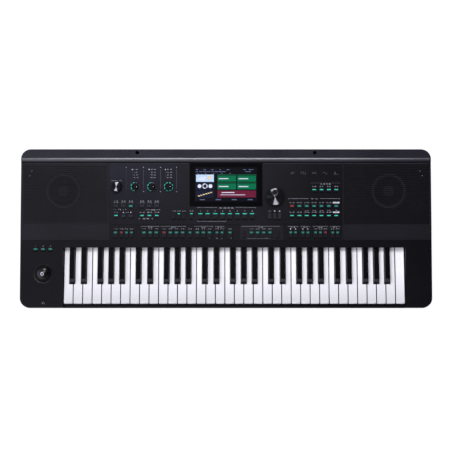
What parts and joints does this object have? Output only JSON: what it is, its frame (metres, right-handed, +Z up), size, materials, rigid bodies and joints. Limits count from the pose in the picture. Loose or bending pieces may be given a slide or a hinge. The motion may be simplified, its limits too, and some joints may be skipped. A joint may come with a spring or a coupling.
{
  "type": "arranger keyboard",
  "caption": "Portable arranger keyboard with full-size piano keys, a sloped button panel, a wide display, two grilled speakers, turning knobs, a data dial and a joystick.",
  "frame": {"origin": "middle of the footprint, on the surface that the feet stand on", "axes": "+X to the player's right, +Y to the rear, +Z up"},
  "size_m": [1.028, 0.39, 0.1292],
  "materials": {
    "case_black": "fine grain, moulded",
    "rear_black": "satin, moulded",
    "panel_black": "satin",
    "grille_black": "fine grain",
    "speaker_steel": "satin black",
    "cone_paper": "black fibre",
    "display_glass": "gloss black border",
    "module_metal": "plain",
    "socket_plastic": "plain",
    "socket_steel": "plain",
    "foot_rubber": "matt",
    "screw_steel": "black zinc",
    "frame_plastic": "plain",
    "spring_steel": "plain",
    "felt": "felt",
    "board_green": "solder mask",
    "key_white": "polished",
    "key_black": "satin",
    "button_black": "satin",
    "knob_black": "satin",
    "dial_metal": "spun",
    "stick_black": "satin"
  },
  "bodies": {
    "case": {"upper_case": "case_black", "lower_case": "case_black", "rear_cover": "rear_black", "control_panel": "panel_black", "button_strip": "panel_black", "left_speaker_grille": "grille_black", "right_speaker_grille": "grille_black", "speaker_drivers": "speaker_steel", "speaker_cones": "cone_paper", "display_lens": "display_glass", "display_module": "module_metal", "jack_plate": "case_black", "jack_sockets": "socket_plastic", "usb_sockets": "socket_steel", "power_inlet": "socket_plastic", "headphone_socket": "socket_plastic", "rubber_feet": "foot_rubber", "case_screws": "screw_steel", "key_frame": "frame_plastic", "key_pivot_rod": "spring_steel", "key_contact_board": "board_green", "key_contact_rubber": "foot_rubber", "key_stop_felts": "felt", "key_return_springs": "spring_steel", "panel_circuit_boards": "board_green", "main_circuit_board": "board_green", "joystick_housing": "case_black", "rotary_encoders": "socket_plastic", "music_rest_sockets": "rear_black"},
    "white_keys_c": {"white_keys_c": "key_white"},
    "white_keys_d": {"white_keys_d": "key_white"},
    "white_keys_e": {"white_keys_e": "key_white"},
    "white_keys_f": {"white_keys_f": "key_white"},
    "white_keys_g": {"white_keys_g": "key_white"},
    "white_keys_a": {"white_keys_a": "key_white"},
    "white_keys_b": {"white_keys_b": "key_white"},
    "black_keys_c_sharp": {"black_keys_c_sharp": "key_black"},
    "black_keys_d_sharp": {"black_keys_d_sharp": "key_black"},
    "black_keys_f_sharp": {"black_keys_f_sharp": "key_black"},
    "black_keys_g_sharp": {"black_keys_g_sharp": "key_black"},
    "black_keys_a_sharp": {"black_keys_a_sharp": "key_black"},
    "joystick_buttons": {"joystick_buttons": "button_black"},
    "style_buttons": {"style_buttons": "button_black"},
    "register_buttons": {"register_buttons": "button_black"},
    "cursor_buttons": {"cursor_buttons": "button_black"},
    "part_buttons": {"part_buttons": "button_black"},
    "voice_buttons": {"voice_buttons": "button_black"},
    "transport_buttons": {"transport_buttons": "button_black"},
    "rhythm_buttons": {"rhythm_buttons": "button_black"},
    "tempo_buttons": {"tempo_buttons": "button_black"},
    "function_buttons": {"function_buttons": "button_black"},
    "volume_knob": {"volume_knob": "knob_black"},
    "assign_knob_left": {"assign_knob_left": "knob_black"},
    "assign_knob_middle": {"assign_knob_middle": "knob_black"},
    "assign_knob_right": {"assign_knob_right": "knob_black"},
    "data_dial": {"data_dial": "knob_black", "data_dial_disc": "dial_metal"},
    "joystick_gimbal": {"joystick_gimbal": "stick_black"},
    "joystick_stick": {"joystick_stick": "stick_black"},
    "power_button": {"power_button": "button_black"}
  },
  "joints": [
    {"name": "white_keys_c_press", "type": "hinge", "parent": "case", "child": "white_keys_c", "pos_m": [0, 0.0095, 0.06], "axis": [1, 0, 0], "range_deg": [0, 2.9], "stiffness_Nm_per_rad": 4.5, "springref_deg": -8.59},
    {"name": "white_keys_d_press", "type": "hinge", "parent": "case", "child": "white_keys_d", "pos_m": [0, 0.0095, 0.06], "axis": [1, 0, 0], "range_deg": [0, 2.9], "stiffness_Nm_per_rad": 4.5, "springref_deg": -8.59},
    {"name": "white_keys_e_press", "type": "hinge", "parent": "case", "child": "white_keys_e", "pos_m": [0, 0.0095, 0.06], "axis": [1, 0, 0], "range_deg": [0, 2.9], "stiffness_Nm_per_rad": 4.5, "springref_deg": -8.59},
    {"name": "white_keys_f_press", "type": "hinge", "parent": "case", "child": "white_keys_f", "pos_m": [0, 0.0095, 0.06], "axis": [1, 0, 0], "range_deg": [0, 2.9], "stiffness_Nm_per_rad": 4.5, "springref_deg": -8.59},
    {"name": "white_keys_g_press", "type": "hinge", "parent": "case", "child": "white_keys_g", "pos_m": [0, 0.0095, 0.06], "axis": [1, 0, 0], "range_deg": [0, 2.9], "stiffness_Nm_per_rad": 4.5, "springref_deg": -8.59},
    {"name": "white_keys_a_press", "type": "hinge", "parent": "case", "child": "white_keys_a", "pos_m": [0, 0.0095, 0.06], "axis": [1, 0, 0], "range_deg": [0, 2.9], "stiffness_Nm_per_rad": 4.5, "springref_deg": -8.59},
    {"name": "white_keys_b_press", "type": "hinge", "parent": "case", "child": "white_keys_b", "pos_m": [0, 0.0095, 0.06], "axis": [1, 0, 0], "range_deg": [0, 2.9], "stiffness_Nm_per_rad": 4.5, "springref_deg": -8.59},
    {"name": "black_keys_c_sharp_press", "type": "hinge", "parent": "case", "child": "black_keys_c_sharp", "pos_m": [0, 0.0095, 0.06], "axis": [1, 0, 0], "range_deg": [0, 2.9], "stiffness_Nm_per_rad": 4.5, "springref_deg": -8.59},
    {"name": "black_keys_d_sharp_press", "type": "hinge", "parent": "case", "child": "black_keys_d_sharp", "pos_m": [0, 0.0095, 0.06], "axis": [1, 0, 0], "range_deg": [0, 2.9], "stiffness_Nm_per_rad": 4.5, "springref_deg": -8.59},
    {"name": "black_keys_f_sharp_press", "type": "hinge", "parent": "case", "child": "black_keys_f_sharp", "pos_m": [0, 0.0095, 0.06], "axis": [1, 0, 0], "range_deg": [0, 2.9], "stiffness_Nm_per_rad": 4.5, "springref_deg": -8.59},
    {"name": "black_keys_g_sharp_press", "type": "hinge", "parent": "case", "child": "black_keys_g_sharp", "pos_m": [0, 0.0095, 0.06], "axis": [1, 0, 0], "range_deg": [0, 2.9], "stiffness_Nm_per_rad": 4.5, "springref_deg": -8.59},
    {"name": "black_keys_a_sharp_press", "type": "hinge", "parent": "case", "child": "black_keys_a_sharp", "pos_m": [0, 0.0095, 0.06], "axis": [1, 0, 0], "range_deg": [0, 2.9], "stiffness_Nm_per_rad": 4.5, "springref_deg": -8.59},
    {"name": "joystick_buttons_press", "type": "slide", "parent": "case", "child": "joystick_buttons", "axis": [0, 0.144, -0.9896], "range_m": [0, 0.0008], "stiffness_N_per_m": 600, "springref_m": -0.0015},
    {"name": "style_buttons_press", "type": "slide", "parent": "case", "child": "style_buttons", "axis": [0, 0.138, -0.9904], "range_m": [0, 0.0008], "stiffness_N_per_m": 600, "springref_m": -0.0015},
    {"name": "register_buttons_press", "type": "slide", "parent": "case", "child": "register_buttons", "axis": [0, 0.138, -0.9904], "range_m": [0, 0.0008], "stiffness_N_per_m": 600, "springref_m": -0.0015},
    {"name": "cursor_buttons_press", "type": "slide", "parent": "case", "child": "cursor_buttons", "axis": [0, 0.138, -0.9904], "range_m": [0, 0.0008], "stiffness_N_per_m": 600, "springref_m": -0.0015},
    {"name": "part_buttons_press", "type": "slide", "parent": "case", "child": "part_buttons", "axis": [0, 0.138, -0.9904], "range_m": [0, 0.0008], "stiffness_N_per_m": 600, "springref_m": -0.0015},
    {"name": "voice_buttons_press", "type": "slide", "parent": "case", "child": "voice_buttons", "axis": [0, 0.138, -0.9904], "range_m": [0, 0.0008], "stiffness_N_per_m": 600, "springref_m": -0.0015},
    {"name": "transport_buttons_press", "type": "slide", "parent": "case", "child": "transport_buttons", "axis": [0, 0.1961, -0.9806], "range_m": [0, 0.0008], "stiffness_N_per_m": 600, "springref_m": -0.0015},
    {"name": "rhythm_buttons_press", "type": "slide", "parent": "case", "child": "rhythm_buttons", "axis": [0, 0.1961, -0.9806], "range_m": [0, 0.0008], "stiffness_N_per_m": 600, "springref_m": -0.0015},
    {"name": "tempo_buttons_press", "type": "slide", "parent": "case", "child": "tempo_buttons", "axis": [0, 0.1961, -0.9806], "range_m": [0, 0.0008], "stiffness_N_per_m": 600, "springref_m": -0.0015},
    {"name": "function_buttons_press", "type": "slide", "parent": "case", "child": "function_buttons", "axis": [0, 0.1961, -0.9806], "range_m": [0, 0.0008], "stiffness_N_per_m": 600, "springref_m": -0.0015},
    {"name": "volume_knob_turn", "type": "hinge", "parent": "case", "child": "volume_knob", "pos_m": [-0.27014, 0.10111, 0.11377], "axis": [0, -0.138, 0.9904], "range_deg": [-150, 150]},
    {"name": "assign_knob_left_turn", "type": "hinge", "parent": "case", "child": "assign_knob_left", "pos_m": [-0.22441, 0.10111, 0.11377], "axis": [0, -0.138, 0.9904], "continuous": true},
    {"name": "assign_knob_middle_turn", "type": "hinge", "parent": "case", "child": "assign_knob_middle", "pos_m": [-0.18328, 0.10111, 0.11377], "axis": [0, -0.138, 0.9904], "continuous": true},
    {"name": "assign_knob_right_turn", "type": "hinge", "parent": "case", "child": "assign_knob_right", "pos_m": [-0.14193, 0.10111, 0.11377], "axis": [0, -0.138, 0.9904], "continuous": true},
    {"name": "data_dial_turn", "type": "hinge", "parent": "case", "child": "data_dial", "pos_m": [0.12038, 0.07634, 0.11032], "axis": [0, -0.138, 0.9904], "continuous": true},
    {"name": "joystick_left_right", "type": "hinge", "parent": "case", "child": "joystick_gimbal", "pos_m": [-0.4528, -0.11099, 0.07941], "axis": [0, 0.9896, 0.144], "range_deg": [-18, 18], "stiffness_Nm_per_rad": 0.06},
    {"name": "joystick_fore_aft", "type": "hinge", "parent": "joystick_gimbal", "child": "joystick_stick", "pos_m": [-0.4528, -0.11099, 0.07941], "axis": [1, 0, 0], "range_deg": [-18, 18], "stiffness_Nm_per_rad": 0.06},
    {"name": "power_button_press", "type": "slide", "parent": "case", "child": "power_button", "axis": [0, -1, 0], "range_m": [0, 0.002], "stiffness_N_per_m": 600, "springref_m": -0.0015}
  ]
}
